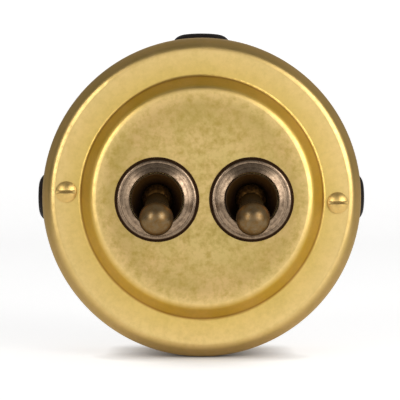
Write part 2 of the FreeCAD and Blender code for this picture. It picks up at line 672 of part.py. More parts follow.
CONTACT_FRONT = f"({BUTTON_FRONT} * cos(rocker_tilt) - button_reach * sin(rocker_tilt) - contact_gap)"


def make_rocker(side, across):
    """Bent contact strip: cradle for the plunger, two wings with buttons, and a trunnion."""
    body = new_body(f"rocker_{side}")
    inner = f"sqrt({CRADLE} ^ 2 - ({CRADLE_MIDDLE} - rocker_wing) ^ 2)"
    outer = f"sqrt(({CRADLE} + rocker_sheet) ^ 2 - ({CRADLE_MIDDLE} - rocker_wing + rocker_sheet) ^ 2)"
    strip = sketch(body, "YZ_Plane", "-rocker_wide / 2")
    outline(strip, (
        ("-rocker_half", "rocker_wing"),
        ("-" + inner, "rocker_wing", CRADLE, LEFT),
        (inner, "rocker_wing"),
        ("rocker_half", "rocker_wing"),
        ("rocker_half", "rocker_wing - rocker_sheet"),
        (outer, "rocker_wing - rocker_sheet", f"{CRADLE} + rocker_sheet", RIGHT),
        ("-" + outer, "rocker_wing - rocker_sheet"),
        ("-rocker_half", "rocker_wing - rocker_sheet"),
    ))
    pad(body, strip, "rocker_wide")
    trunnion = sketch(body, "YZ_Plane", "-trunnion_length / 2")
    circle(trunnion, "0", "0", "trunnion_diameter / 2")
    pad(body, trunnion, "trunnion_length")
    buttons = sketch(body, "XY_Plane", "rocker_wing - rocker_sheet")
    circle(buttons, "0", "button_reach", "button_diameter / 2")
    circle(buttons, "0", "-button_reach", "button_diameter / 2")
    pad(body, buttons, "button_height", back=True)
    place(body, across, f"{PIVOT} - rocker_distance", GANG_UP, ACROSS, "90 - rocker_tilt")
    return body


def terminal_block(body, up):
    """Brass block behind the base, with a wire hole and a tapped hole for its screw."""
    block = sketch(body, "XY_Plane", BLOCK_REAR)
    rectangle(block, "terminal_wide", "terminal_tall", up)
    pad(body, block, "terminal_deep")
    wire = sketch(body, "YZ_Plane", "terminal_wide")
    circle(wire, up, f"{BASE_REAR} - wire_hole_depth", "wire_hole / 2")
    cut(body, wire, "2 * terminal_wide")
    tapped = sketch(body, "XY_Plane", BLOCK_REAR)
    circle(tapped, "0", up, "clamp_screw / 2 + thread_play")
    cut(body, tapped, "terminal_deep - wire_hole_depth", forward=True)


def make_common(side, across):
    """Common terminal: block, stem through the base, and the bracket that carries the rocker."""
    body = new_body(f"common_terminal_{side}")
    inside = "(rocker_wide / 2 + bracket_gap)"
    outside = f"({inside} + bracket_sheet)"
    head = "bracket_above - rocker_distance"
    floor = f"{HOUSING_REAR} + bracket_sheet"
    bracket = sketch(body, "XZ_Plane", "-bracket_wide / 2")
    outline(bracket, (
        ("-" + outside, HOUSING_REAR),
        (outside, HOUSING_REAR),
        (outside, head),
        (inside, head),
        (inside, floor),
        ("-" + inside, floor),
        ("-" + inside, head),
        ("-" + outside, head),
    ))
    pad(body, bracket, "bracket_wide")
    cross_hole(body, "-rocker_distance", "trunnion_diameter / 2 + trunnion_play", "trunnion_length")
    stem = sketch(body, "XY_Plane", BASE_REAR)
    rectangle(stem, "stem_wide", "stem_tall")
    pad(body, stem, "base_thick")
    terminal_block(body, "0")
    place(body, across, PIVOT, GANG_UP)
    return body


def make_contact(label, across, sign):
    """Switched terminal: block behind the base and a contact post in front of it."""
    body = new_body(label)
    post = sketch(body, "XY_Plane", BASE_REAR)
    circle(post, "0", f"{sign} * {CONTACT_UP}", "button_diameter / 2")
    pad(body, post, f"{CONTACT_FRONT} - rocker_distance - {BASE_REAR}")
    terminal_block(body, f"{sign} * terminal_spacing")
    place(body, across, PIVOT, GANG_UP)
    return body


def make_clamp_screws(side, across):
    """Three terminal screws, driven from the rear."""
    members = []
    for name, steps in (("upper", "1"), ("middle", "0"), ("lower", "-1")):
        label = f"{name}_clamp_screw_{side}"
        screw = slotted_screw(
            label, "clamp_screw", "clamp_screw_length", "clamp_screw_head", "clamp_screw_dome")
        up = f"{steps} * terminal_spacing + {GANG_UP}"
        place(screw, across, f"{PIVOT} + {BLOCK_REAR}", up, ACROSS, "-90")
        members.append(screw)
    return group(f"terminal_screws_{side}", members)


def rivet_pair(drawn, radius):
    """Circles at the two rivets, on one diagonal."""
    circle(drawn, "rivet_across", "rivet_up", radius)
    circle(drawn, "-rivet_across", "-rivet_up", radius)


def make_housing(side, across):
    """Moulded cup around the mechanism, open to the rear."""
    body = new_body(f"switch_housing_{side}")
    shell = sketch(body, "XY_Plane", HOUSING_REAR)
    rounded_rectangle(shell, "housing_wide", "housing_tall", "housing_corner")
    pad(body, shell, HOUSING_DEPTH)
    room = sketch(body, "XY_Plane", HOUSING_REAR)
    rounded_rectangle(room, "(housing_wide - 2 * housing_wall)", "(housing_tall - 2 * housing_wall)",
                      "(housing_corner / 2)")
    cut(body, room, f"{HOUSING_DEPTH} - housing_front", forward=True)
    columns = sketch(body, "XY_Plane", HOUSING_REAR)
    rivet_pair(columns, "rivet_column / 2")
    pad(body, columns, f"{HOUSING_DEPTH} - housing_front / 2")
    mouth = sketch(body, "XY_Plane", FLANGE_REAR)
    circle(mouth, "0", "0", "bush_spigot / 2 + spigot_play")
    rivet_pair(mouth, "rivet_shank / 2 + rivet_play")
    cut(body, mouth, f"{HOUSING_DEPTH} * 1.1")
    place(body, across, PIVOT, GANG_UP)
    return body


def make_base(side, across):
    """Moulded plate that closes the housing and carries the terminals."""
    body = new_body(f"switch_base_{side}")
    drawn = sketch(body, "XY_Plane", BASE_REAR)
    rounded_rectangle(drawn, "housing_wide", "housing_tall", "housing_corner")
    rectangle(drawn, "stem_wide + 2 * slot_play", "stem_tall + 2 * slot_play")
    circle(drawn, "0", CONTACT_UP, "button_diameter / 2 + slot_play")
    circle(drawn, "0", "-" + CONTACT_UP, "button_diameter / 2 + slot_play")
    rivet_pair(drawn, "rivet_shank / 2 + rivet_play")
    pad(body, drawn, "base_thick")
    place(body, across, PIVOT, GANG_UP)
    return body


def make_rivets(side, across):
    """Two rivets through base and housing, flush under the flange plate."""
    members = []
    for name, sign in (("upper", "1"), ("lower", "-1")):
        rivet = new_body(f"{name}_rivet_{side}")
        turn_solid(rivet, (
            ("0", f"{BASE_REAR} - rivet_head_height"),
            ("rivet_head / 2", f"{BASE_REAR} - rivet_head_height"),
            ("rivet_head / 2", BASE_REAR),
            ("rivet_shank / 2", BASE_REAR),
            ("rivet_shank / 2", FLANGE_REAR),
            ("0", FLANGE_REAR),
        ))
        place(rivet, f"{across} + {sign} * rivet_across", PIVOT, f"{GANG_UP} + {sign} * rivet_up")
        members.append(rivet)
    return group(f"rivets_{side}", members)


def make_switch(side, across):
    """Everything that belongs to one dolly."""
    return [
        make_bezel(side, across),
        make_bush(side, across),
        make_dolly(side, across),
        make_pin(side, across),
        make_plunger(side, across),
        make_spring(side, across),
        make_rocker(side, across),
        make_common(side, across),
        make_contact(f"upper_terminal_{side}", across, "1"),
        make_contact(f"lower_terminal_{side}", across, "-1"),
        make_clamp_screws(side, across),
        make_housing(side, across),
        make_base(side, across),
        make_rivets(side, across),
    ]


def check_objects():
    """Stop when a feature failed, a shape is unsound or a pocket took nothing away."""
    for thing in doc.Objects:
        if "Invalid" in thing.State or "Error" in thing.State:
            raise RuntimeError(f"{thing.Name} did not build")
        if thing.isDerivedFrom("PartDesign::Pocket"):
            if thing.Shape.Volume > thing.BaseFeature.Shape.Volume - 1e-6:
                raise RuntimeError(f"{thing.Name} cut nothing")


def write_nodes(nodes):
    """One STEP file for each node."""
    os.makedirs("parts", exist_ok=True)
    for node in nodes:
        if node.Shape.isNull() or not node.Shape.isValid():
            raise RuntimeError(f"{node.Label} has no sound shape")
        node.Shape.exportStep(f"parts/{node.Label}.step")


def main():
    """Build every node and write it."""
    nodes = [make_box(), make_lid(), make_lid_screws()]
    nodes += make_plugs()
    nodes += make_earth()
    nodes += make_switch("left", "gang_aside - gang_pitch / 2")
    nodes += make_switch("right", "gang_aside + gang_pitch / 2")
    doc.recompute()
    check_objects()
    write_nodes(nodes)


main()
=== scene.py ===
"""Looks of a round brass wall switch with two dollies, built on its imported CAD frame."""
import json
import math

import bmesh
import bpy
from bpy.props import FloatProperty, FloatVectorProperty, PointerProperty
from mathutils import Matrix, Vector


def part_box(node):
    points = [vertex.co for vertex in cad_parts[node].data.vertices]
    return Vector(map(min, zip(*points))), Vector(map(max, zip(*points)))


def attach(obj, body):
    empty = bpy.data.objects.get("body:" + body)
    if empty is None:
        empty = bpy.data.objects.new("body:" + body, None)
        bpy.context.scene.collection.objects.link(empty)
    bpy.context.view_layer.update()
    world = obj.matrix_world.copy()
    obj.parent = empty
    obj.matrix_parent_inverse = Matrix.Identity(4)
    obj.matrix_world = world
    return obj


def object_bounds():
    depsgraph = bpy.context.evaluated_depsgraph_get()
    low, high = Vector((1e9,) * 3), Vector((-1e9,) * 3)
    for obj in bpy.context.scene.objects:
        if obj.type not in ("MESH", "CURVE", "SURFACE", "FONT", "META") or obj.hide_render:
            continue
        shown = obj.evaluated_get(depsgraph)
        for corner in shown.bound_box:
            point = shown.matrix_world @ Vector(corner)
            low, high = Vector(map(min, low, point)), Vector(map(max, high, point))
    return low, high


bl_info = {
    "name": "Brass dolly switch",
    "version": (1, 0, 0),
    "blender": (4, 5, 0),
    "location": "View3D > Sidebar > Switch",
    "description": "Finishes, fine detail, stage and camera of a two-dolly brass wall switch",
    "category": "Object",
}

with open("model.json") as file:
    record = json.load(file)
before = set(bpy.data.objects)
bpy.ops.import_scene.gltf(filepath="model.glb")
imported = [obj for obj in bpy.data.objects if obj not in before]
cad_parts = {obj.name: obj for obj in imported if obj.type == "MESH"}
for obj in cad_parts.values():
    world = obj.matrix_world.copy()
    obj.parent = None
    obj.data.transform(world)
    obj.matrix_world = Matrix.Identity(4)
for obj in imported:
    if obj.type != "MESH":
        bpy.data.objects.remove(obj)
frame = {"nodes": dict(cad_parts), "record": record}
CAD_BOX = [list(corner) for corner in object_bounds()]
SIDES = ("left", "right")
MM = 0.001
FLOOR = CAD_BOX[0][2]
LID_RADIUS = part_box("lid")[1][0]
BEZEL_RADIUS = (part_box("bezel_left")[1][0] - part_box("bezel_left")[0][0]) / 2

# Distance from a dolly's pivot over which its colour darkens towards the hub as painted shade.
DOLLY_REACH = 20 * MM
# Width of a spot in bronze plating, and of a pit in the skin of a moulding.
PLATING_SPOT = 1.2 * MM
MOULDING_SKIN = 0.35 * MM
# Span that holds most values of a noise.
NOISE_SPAN = {"From Min": 0.3, "From Max": 0.7}

# Hole of the open conduit entry. Depth and half width of its thread are shares of the pitch.
ENTRY_RADIUS = 8 * MM
THREAD_DEPTH = 0.39
THREAD_HALF = 0.42
THREAD_SINK = 0.03 * MM
THREAD_TURNS = 2.5
THREAD_STEPS = 64
THREAD_RUN_OUT = 16

# Edges, bend and height of the paper, in metres.
PAPER_FRONT = -0.3
PAPER_BACK = 0.9
PAPER_BEND = 0.4
PAPER_TOP = 1.2
PAPER_HALF = 0.35
PAPER_STEPS = 16
# Where the front of the lid stands on the paper, and how far the shadow painted around it reaches from there.
LID_TOE = (0, -40 * MM, FLOOR)
SHADOW_NEAR = 4 * MM
SHADOW_FAR = 28 * MM
CONTACT_SHADOW = 11 * MM
# Depths between which the glow of the paper fades towards its front edge as painted shade, in metres.
FADE_FRONT = -0.25
FADE_BACK = -0.10

# Parts of a softbox: name, distance in metres, then shares of its width, height and power.
SOFTBOX_PARTS = (
    ("cloth", 1.0, 1.0, 1.0, 0.72),
    ("middle", 0.99, 0.3, 0.7, 0.28),
)


def linear(code):
    """Linear red, green and blue of an sRGB hex colour."""
    parts = [int(code[start:start + 2], 16) / 255 for start in (1, 3, 5)]
    return tuple(p / 12.92 if p <= 0.04045 else ((p + 0.055) / 1.055) ** 2.4 for p in parts)


def colour(name, code, description):
    """Colour setting with a hex default."""
    return FloatVectorProperty(name=name, description=description, default=linear(code), size=3,
                               min=0, max=1, subtype="COLOR")


def length(name, millimetres, description):
    """Length setting, given in millimetres and kept in metres."""
    return FloatProperty(name=name, description=description, default=millimetres * MM, min=0.00001,
                         unit="LENGTH", precision=5)


def level(name, share, description):
    """Brightness setting, where 1 is white."""
    return FloatProperty(name=name, description=description, default=share, min=0, max=1,
                         subtype="FACTOR")


class SwitchFinish(bpy.types.PropertyGroup):
    """Colours and pattern sizes of the finishes."""
    lid_patina: colour("Lid patina", "#D3B974", "Thin patina in the middle of the raised centre")
    lid_dusk: colour("Lid dusk", "#C0A562", "Heavier patina towards the edge of the raised centre")
    lid_bright: colour("Lid brass", "#E3C580", "Rubbed brass of the lid's edges")
    # Olive stain in the patina; on milled brass it is also the painted shade in hollows.
    lid_stain_and_shade: colour("Lid stain", "#A88F43", "Olive spots in the patina and on milled brass")
    lid_warm: colour("Lid blush", "#DFB684", "Reddish clouds in the patina")
    # Painted shade: the side of the raised centre is darkened brass, with a darker line in the crease at its
    # foot.
    lid_slope_shade: colour("Lid slope", "#BE9838", "Golden side of the raised centre")
    lid_corner_shade: colour("Lid corner", "#98702A", "Brown line at the foot of that side")
    lid_rim: colour("Lid rim", "#DABB68", "Rim outside the raised centre")
    # Painted shade: the rounded outer edge and skirt are darkened brass.
    lid_flank_shade: colour("Lid flank", "#B09256", "Rounded outer edge and skirt of the lid")
    # Bezel faces, between the painted shade of the hole and the painted shadow at the foot.
    bronze: colour("Bronze", "#A28B73", "Bezels where they are rubbed")
    # Dark bronze: stain, and painted shade in slots, hollows, the bezels' hole and foot, and at the dollies'
    # hubs.
    bronze_stain_and_shade: colour("Bronze, dark", "#301F12", "Stain on flanks, in slots and in hollows")
    # Brown bronze: spots, the step of painted shade on the dollies' necks, and the mouths of the bushes.
    bronze_mid: colour("Bronze, brown", "#735328", "Necks of the dollies and mouths of the bushes")
    # Painted shade deep in the bushes.
    bore_shade: colour("Bore", "#24160D", "Stain deep in the bushes")
    # Dollies away from the hub; towards the hub they darken as painted shade.
    dolly: colour("Dolly bronze", "#796548", "Dollies where they are handled")
    cast: colour("Cast brass", "#B08F52", "Box behind the lid")
    screw: colour("Screw brass", "#E0BC72", "Lid screws")
    terminal: colour("Terminal brass", "#D9BE7A", "Rockers, terminals and the cut thread")
    steel: colour("Steel", "#BFC1C2", "Pins, plungers, springs and rivets")
    plug: colour("Plug", "#120B07", "Stoppers of the conduit entries")
    moulding: colour("Moulding", "#2A1A12", "Switch housings and bases")
    cloud: length("Patina clouds", 9.0, "Width of a cloud in the lid's patina")
    mottle: length("Patina mottle", 2.2, "Width of a spot in the lid's patina")
    grit: length("Satin grit", 0.5, "Width of a mark of the satin finish")
    sand: length("Casting sand", 0.7, "Width of a grain mark on the cast box")
    thread: length("Thread pitch", 1.5, "Pitch of the thread in the open conduit entry")
    turning: length("Turning marks", 0.45, "Spacing of the lathe's marks on the bezels")


class SwitchStage(bpy.types.PropertyGroup):
    """Sizes and levels of the studio."""
    target: FloatVectorProperty(name="Camera target", description="Point that the camera looks at",
                                default=(-0.60 * MM, -32.0 * MM, -0.86 * MM), size=3,
                                subtype="TRANSLATION", unit="LENGTH", precision=5)
    distance: FloatProperty(name="Camera distance", description="Camera to its target", default=0.45,
                            min=0.1, unit="LENGTH")
    lens: FloatProperty(name="Lens", description="Focal length on a 36 mm sensor", default=129.7,
                        min=20, unit="CAMERA")
    height: FloatProperty(name="Camera height", description="Elevation of the camera above the horizon",
                          default=math.radians(0.5), unit="ROTATION")
    turn: FloatProperty(name="Camera turn", description="Azimuth of the camera, to the right",
                        default=math.radians(-0.6), unit="ROTATION")
    left_lamp: FloatProperty(name="Left lamp", description="Power of the left softbox", default=2.5,
                             min=0, unit="POWER")
    right_lamp: FloatProperty(name="Right lamp", description="Power of the right softbox", default=5.0,
                              min=0, unit="POWER")
    room_left: level("Room, left", 0.32, "Light of the room on the left")
    room_right: level("Room, right", 0.42, "Light of the room on the right")
    room_front: level("Room, front", 0.87, "Light of the room in front of the switch")
    ceiling: level("Ceiling", 0.03, "Light of the ceiling in front of the switch")
    lift: level("Paper lift", 0.68, "Glow that keeps the paper white")
    paper: colour("Paper", "#D1D0CF", "Floor and backdrop")


def opaque(shade):
    """Colour setting with full opacity."""
    return (*shade, 1.0)


def add_node(tree, kind, links=None, stops=(), **settings):
    """One shader node; a link is a socket to join or a value to set, and stops colour a ramp."""
    made = tree.nodes.new("ShaderNode" + kind)
    for key, value in settings.items():
        setattr(made, key, value)
    for count, (spot, shade) in enumerate(stops):
        mark = made.color_ramp.elements.new(spot) if count > 1 else made.color_ramp.elements[count]
        mark.position = spot
        mark.color = opaque(shade)
    for socket, value in (links or {}).items():
        if isinstance(value, bpy.types.NodeSocket):
            tree.links.new(value, made.inputs[socket])
        else:
            made.inputs[socket].default_value = value
    return made


def start_material(name, **sockets):
    """Node material with its shader's constant sockets set."""
    made = bpy.data.materials.new(name)
    made.use_nodes = True
    tree = made.node_tree
    shader = tree.nodes["Principled BSDF"]
    for socket, value in sockets.items():
        shader.inputs[socket.replace("_", " ")].default_value = value
    return made, tree, shader


def join(tree, shader, **outputs):
    """Link node outputs to the shader's sockets."""
    for socket, output in outputs.items():
        tree.links.new(output, shader.inputs[socket.replace("_", " ")])


def lid_brass(finish):
    """Pressed brass sheet with a satin finish: soft broad highlights, cloudy olive patina, rubbed edges, and
    painted shade on the raised centre's side, in the line at its foot and on the outer flank.
    """
    made, tree, shader = start_material("Brass sheet, pressed and satin finished", Metallic=1.0)
    where = add_node(tree, "TexCoord").outputs["Object"]
    disc = add_node(tree, "VectorMath", {0: where, 1: (1, 0, 1)}, operation="MULTIPLY").outputs[0]
    radius = add_node(tree, "VectorMath", {0: disc}, operation="LENGTH").outputs["Value"]
    share = add_node(tree, "Math", {0: radius, 1: LID_RADIUS}, operation="DIVIDE").outputs[0]
    # The ramp darkens the raised centre's side, the line at its foot and the outer flank as painted shade.
    zone = add_node(tree, "ValToRGB", {0: share}, stops=(
        (0.34, finish.lid_patina),
        (0.57, finish.lid_dusk),
        (0.655, finish.lid_bright),
        (0.69, finish.lid_slope_shade),
        (0.738, finish.lid_slope_shade),
        (0.748, finish.lid_corner_shade),
        (0.763, finish.lid_rim),
        (0.90, finish.lid_bright),
        (0.95, finish.lid_flank_shade))).outputs[0]
    cloud = add_node(tree, "TexNoise", {"Vector": where, "Scale": 1 / finish.cloud, "Detail": 4.0,
                                        "Roughness": 0.6}).outputs[0]
    mottle = add_node(tree, "TexNoise", {"Vector": where, "Scale": 1 / finish.mottle, "Detail": 5.0,
                                         "Roughness": 0.65}).outputs[0]
    # The satin grit is near 0.05 mm on the real sheet; it is drawn ten times coarser to show.
    grit = add_node(tree, "TexNoise", {"Vector": where, "Scale": 1 / finish.grit, "Detail": 2.0}).outputs[0]
    # Patina is thick on the raised centre and thin outside it.
    centre = add_node(tree, "MapRange", {"Value": share, "From Min": 0.60, "From Max": 0.68,
                                         "To Min": 1.0, "To Max": 0.35},
                      interpolation_type="SMOOTHSTEP").outputs[0]
    blush = add_node(tree, "MapRange", {"Value": cloud, "From Min": 0.38, "From Max": 0.68,
                                        "To Max": 0.4}).outputs[0]
    blush = add_node(tree, "Math", {0: blush, 1: centre}, operation="MULTIPLY").outputs[0]
    warm = add_node(tree, "Mix", {0: blush, 6: zone, 7: opaque(finish.lid_warm)},
                    data_type="RGBA").outputs[2]
    olive = add_node(tree, "MapRange", {"Value": mottle, "From Min": 0.40, "From Max": 0.70,
                                        "To Max": 0.8}).outputs[0]
    olive = add_node(tree, "Math", {0: olive, 1: centre}, operation="MULTIPLY").outputs[0]
    tint = add_node(tree, "Mix", {0: olive, 6: warm, 7: opaque(finish.lid_stain_and_shade)},
                    data_type="RGBA").outputs[2]
    both = add_node(tree, "Math", {0: cloud, 1: mottle}, operation="ADD").outputs[0]
    satin = add_node(tree, "MapRange", {"Value": both, "From Min": 0.7, "From Max": 1.3,
                                        "To Min": 0.30, "To Max": 0.42}).outputs[0]
    # The satin wheel rubs the faces and the edges; the drawn sides below them stay matt.
    drawn = add_node(tree, "ValToRGB", {0: share}, stops=(
        (0.675, (0, 0, 0)),
        (0.70, (1, 1, 1)),
        (0.745, (1, 1, 1)),
        (0.765, (0, 0, 0)),
        (0.945, (0, 0, 0)),
        (0.965, (1, 1, 1)))).outputs[0]
    rough = add_node(tree, "Math", {0: drawn, 1: 0.25, 2: satin}, operation="MULTIPLY_ADD").outputs[0]
    bump = add_node(tree, "Bump", {"Strength": 0.12, "Distance": 0.02 * MM, "Height": grit}).outputs[0]
    join(tree, shader, Base_Color=tint, Roughness=rough, Normal=bump)
    return made


def from_pivot(tree, where):
    """Vector from the pivot of the nearer dolly, in metres, with the pair folded onto one side."""
    joints = frame["record"]["behaviour"]["joints"]
    pivots = [joint["pos_m"] for joint in joints if "dolly" in joint["name"]]
    middle = sum(pivot[0] for pivot in pivots) / 2
    inside = add_node(tree, "VectorMath", {0: where, 1: (middle, *pivots[0][1:])},
                      operation="SUBTRACT").outputs[0]
    axes = add_node(tree, "SeparateXYZ", {0: inside})
    aside = add_node(tree, "Math", {0: axes.outputs["X"]}, operation="ABSOLUTE").outputs[0]
    aside = add_node(tree, "Math", {0: aside, 1: abs(pivots[0][0] - middle)},
                     operation="SUBTRACT").outputs[0]
    return add_node(tree, "CombineXYZ", {0: aside, 1: axes.outputs["Y"], 2: axes.outputs["Z"]}).outputs[0]


def bezel_bronze(finish):
    """Turned brass, antique bronze plated: the lathe's rings stretch each highlight across them; the hole and
    the foot are dark as painted shade.
    """
    made, tree, shader = start_material("Brass, turned and bronze plated", Metallic=1.0,
                                        Anisotropic=0.7, Anisotropic_Rotation=0.25)
    where = add_node(tree, "TexCoord").outputs["Object"]
    disc = add_node(tree, "VectorMath", {0: from_pivot(tree, where), 1: (1, 0, 1)},
                    operation="MULTIPLY").outputs[0]
    radius = add_node(tree, "VectorMath", {0: disc}, operation="LENGTH").outputs["Value"]
    share = add_node(tree, "Math", {0: radius, 1: BEZEL_RADIUS}, operation="DIVIDE").outputs[0]
    # Dark inside the hole and at the foot: painted shade in the hole and a painted shadow where the bezel
    # meets the lid.
    zone = add_node(tree, "ValToRGB", {0: share}, stops=(
        (0.60, finish.bronze_stain_and_shade),
        (0.645, finish.bronze),
        (0.90, finish.bronze),
        (0.945, finish.bronze_stain_and_shade))).outputs[0]
    # The lathe's marks are near 0.1 mm apart; they are drawn over four times coarser to show.
    spacing = add_node(tree, "Math", {0: radius, 1: finish.turning}, operation="DIVIDE").outputs[0]
    ring = add_node(tree, "TexNoise", {"W": spacing, "Scale": 1.0, "Detail": 3.0},
                    noise_dimensions="1D").outputs[0]
    spot = add_node(tree, "TexNoise", {"Vector": where, "Scale": 1 / PLATING_SPOT, "Detail": 4.0,
                                       "Roughness": 0.65}).outputs[0]
    both = add_node(tree, "Math", {0: ring, 1: spot}, operation="ADD").outputs[0]
    brown = add_node(tree, "MapRange", {"Value": both, "From Min": 0.85, "From Max": 1.25,
                                        "To Max": 0.7}).outputs[0]
    tint = add_node(tree, "Mix", {0: brown, 6: zone, 7: opaque(finish.bronze_stain_and_shade)},
                    data_type="RGBA").outputs[2]
    rough = add_node(tree, "MapRange", {"Value": spot, **NOISE_SPAN,
                                        "To Min": 0.24, "To Max": 0.32}).outputs[0]
    around = add_node(tree, "Tangent", direction_type="RADIAL", axis="Y").outputs[0]
    bump = add_node(tree, "Bump", {"Strength": 0.3, "Distance": 0.02 * MM, "Height": ring}).outputs[0]
    join(tree, shader, Base_Color=tint, Roughness=rough, Tangent=around, Normal=bump)
    return made


def dolly_bronze(finish):
    """Turned and tumbled brass, bronze plated: satin and olive on the handled ball, darkening towards the hub
    as painted shade deep in the bush.
    """
    # The brown stain takes the light that skims the surface.
    made, tree, shader = start_material("Brass, tumbled and bronze plated", Metallic=0.85,
                                        Specular_Tint=opaque(finish.bronze_stain_and_shade))
    where = add_node(tree, "TexCoord").outputs["Object"]
    reach = add_node(tree, "VectorMath", {0: from_pivot(tree, where)}, operation="LENGTH").outputs["Value"]
    share = add_node(tree, "Math", {0: reach, 1: DOLLY_REACH}, operation="DIVIDE").outputs[0]
    # Painted shade: brown on the neck and dark at the hub, where the bush shades the dolly.
    zone = add_node(tree, "ValToRGB", {0: share}, stops=(
        (0.24, finish.bronze_stain_and_shade),
        (0.34, finish.bronze_mid),
        (0.62, finish.dolly))).outputs[0]
    spot = add_node(tree, "TexNoise", {"Vector": where, "Scale": 1 / PLATING_SPOT, "Detail": 4.0,
                                       "Roughness": 0.65}).outputs[0]
    brown = add_node(tree, "MapRange", {"Value": spot, "From Min": 0.40, "From Max": 0.68,
                                        "To Max": 0.8}).outputs[0]
    tint = add_node(tree, "Mix", {0: brown, 6: zone, 7: opaque(finish.bronze_mid)},
                    data_type="RGBA").outputs[2]
    rough = add_node(tree, "MapRange", {"Value": spot, **NOISE_SPAN,
                                        "To Min": 0.26, "To Max": 0.40}).outputs[0]
    bump = add_node(tree, "Bump", {"Strength": 0.3, "Distance": 0.03 * MM, "Height": spot}).outputs[0]
    join(tree, shader, Base_Color=tint, Roughness=rough, Normal=bump)
    return made


def worn_metal(name, tint, darker, reach, low, high, bare):
    """Machined metal with broken edges, paler on open faces and darker in its hollows as painted shade.

    A hollow is narrower than reach, roughness lies between low and high, and bare is the unstained share.
    """
    made, tree, shader = start_material(name, Metallic=bare)
    where = add_node(tree, "TexCoord").outputs["Object"]
    shade = add_node(tree, "AmbientOcclusion", {"Distance": reach}, samples=16).outputs["AO"]
    spot = add_node(tree, "TexNoise", {"Vector": where, "Scale": 1 / PLATING_SPOT, "Detail": 4.0,
                                       "Roughness": 0.65}).outputs[0]
    # Painted shade: ambient occlusion darkens the colour in hollows.
    unshaded = add_node(tree, "MapRange", {"Value": shade, "From Min": 0.4, "From Max": 0.9},
                      interpolation_type="SMOOTHSTEP").outputs[0]
    even = add_node(tree, "MapRange", {"Value": spot, **NOISE_SPAN, "To Min": 0.8, "To Max": 1.0}).outputs[0]
    face = add_node(tree, "Math", {0: unshaded, 1: even}, operation="MULTIPLY").outputs[0]
    mixed = add_node(tree, "Mix", {0: face, 6: opaque(darker), 7: opaque(tint)},
                     data_type="RGBA").outputs[2]
    rough = add_node(tree, "MapRange", {"Value": spot, **NOISE_SPAN,
                                        "To Min": low, "To Max": high}).outputs[0]
    edge = add_node(tree, "Bevel", {"Radius": 0.12 * MM}, samples=4).outputs[0]
    bump = add_node(tree, "Bump", {"Strength": 0.1, "Distance": 0.02 * MM, "Height": spot,
                                   "Normal": edge}).outputs[0]
    join(tree, shader, Base_Color=mixed, Roughness=rough, Normal=bump)
    return made


def plain_metal(name, tint, darker, grain, low, high):
    """Metal with a grain of the given size that moves its colour, roughness and surface, and painted shade
    that darkens its colour in hollows.
    """
    made, tree, shader = start_material(name, Metallic=1.0)
    where = add_node(tree, "TexCoord").outputs["Object"]
    shade = add_node(tree, "AmbientOcclusion", {"Distance": 2 * MM}, samples=8).outputs["AO"]
    noise = add_node(tree, "TexNoise", {"Vector": where, "Scale": 1 / grain, "Detail": 5.0,
                                        "Roughness": 0.6}).outputs[0]
    # Painted shade: ambient occlusion, mixed with the grain, darkens the colour in hollows.
    unshaded_grain = add_node(tree, "Math", {0: noise, 1: shade}, operation="MULTIPLY").outputs[0]
    amount = add_node(tree, "MapRange", {"Value": unshaded_grain, "From Min": 0.15, "From Max": 0.55}).outputs[0]
    mixed = add_node(tree, "Mix", {0: amount, 6: opaque(darker), 7: opaque(tint)},
                     data_type="RGBA").outputs[2]
    rough = add_node(tree, "MapRange", {"Value": noise, **NOISE_SPAN,
                                        "To Min": low, "To Max": high}).outputs[0]
    bump = add_node(tree, "Bump", {"Strength": 0.25, "Distance": 0.05 * MM, "Height": noise}).outputs[0]
    join(tree, shader, Base_Color=mixed, Roughness=rough, Normal=bump)
    return made


def plain_moulding(name, tint, grain, low, high, ior, gloss):
    """Moulded plastic or rubber with a faint flow mottle and a fine skin."""
    made, tree, shader = start_material(name, IOR=ior, Specular_IOR_Level=gloss)
    where = add_node(tree, "TexCoord").outputs["Object"]
    flow = add_node(tree, "TexNoise", {"Vector": where, "Scale": 1 / grain, "Detail": 5.0,
                                       "Distortion": 0.6}).outputs[0]
    amount = add_node(tree, "MapRange", {"Value": flow, **NOISE_SPAN}).outputs[0]
    paler = tuple(min(1.0, part * 1.7 + 0.004) for part in tint)
    mixed = add_node(tree, "Mix", {0: amount, 6: opaque(tint), 7: opaque(paler)},
                     data_type="RGBA").outputs[2]
    rough = add_node(tree, "MapRange", {"Value": flow, **NOISE_SPAN,
                                        "To Min": low, "To Max": high}).outputs[0]
    skin = add_node(tree, "TexNoise", {"Vector": where, "Scale": 1 / MOULDING_SKIN, "Detail": 2.0}).outputs[0]
    bump = add_node(tree, "Bump", {"Strength": 0.15, "Distance": 0.03 * MM, "Height": skin}).outputs[0]
    join(tree, shader, Base_Color=mixed, Roughness=rough, Normal=bump)
    return made


def dress(material, *nodes):
    """Give CAD nodes a finish in place of the one they came with."""
    for name in nodes:
        slots = frame["nodes"][name].data.materials
        slots.clear()
        slots.append(material)


def both_sides(*stems):
    """Node names of the left and the right switch."""
    return [f"{stem}_{side}" for stem in stems for side in SIDES]


class SWITCH_OT_lid(bpy.types.Operator):
    """Pressed brass lid"""
    bl_idname = "switch.lid"
    bl_label = "Lid"

    def execute(self, context):
        dress(lid_brass(context.scene.switch_finish), "lid")
        return {"FINISHED"}


class SWITCH_OT_screws(bpy.types.Operator):
    """Two turned brass screws in the lid"""
    bl_idname = "switch.screws"
    bl_label = "Lid screws"

    def execute(self, context):
        finish = context.scene.switch_finish
        # Turned on a lathe: bright crown, and dark in the slot as painted shade.
        dress(worn_metal("Brass, turned", finish.screw, finish.bronze_stain_and_shade,
                         reach=0.9 * MM, low=0.34, high=0.44, bare=1.0),
              "lid_screws")
        return {"FINISHED"}


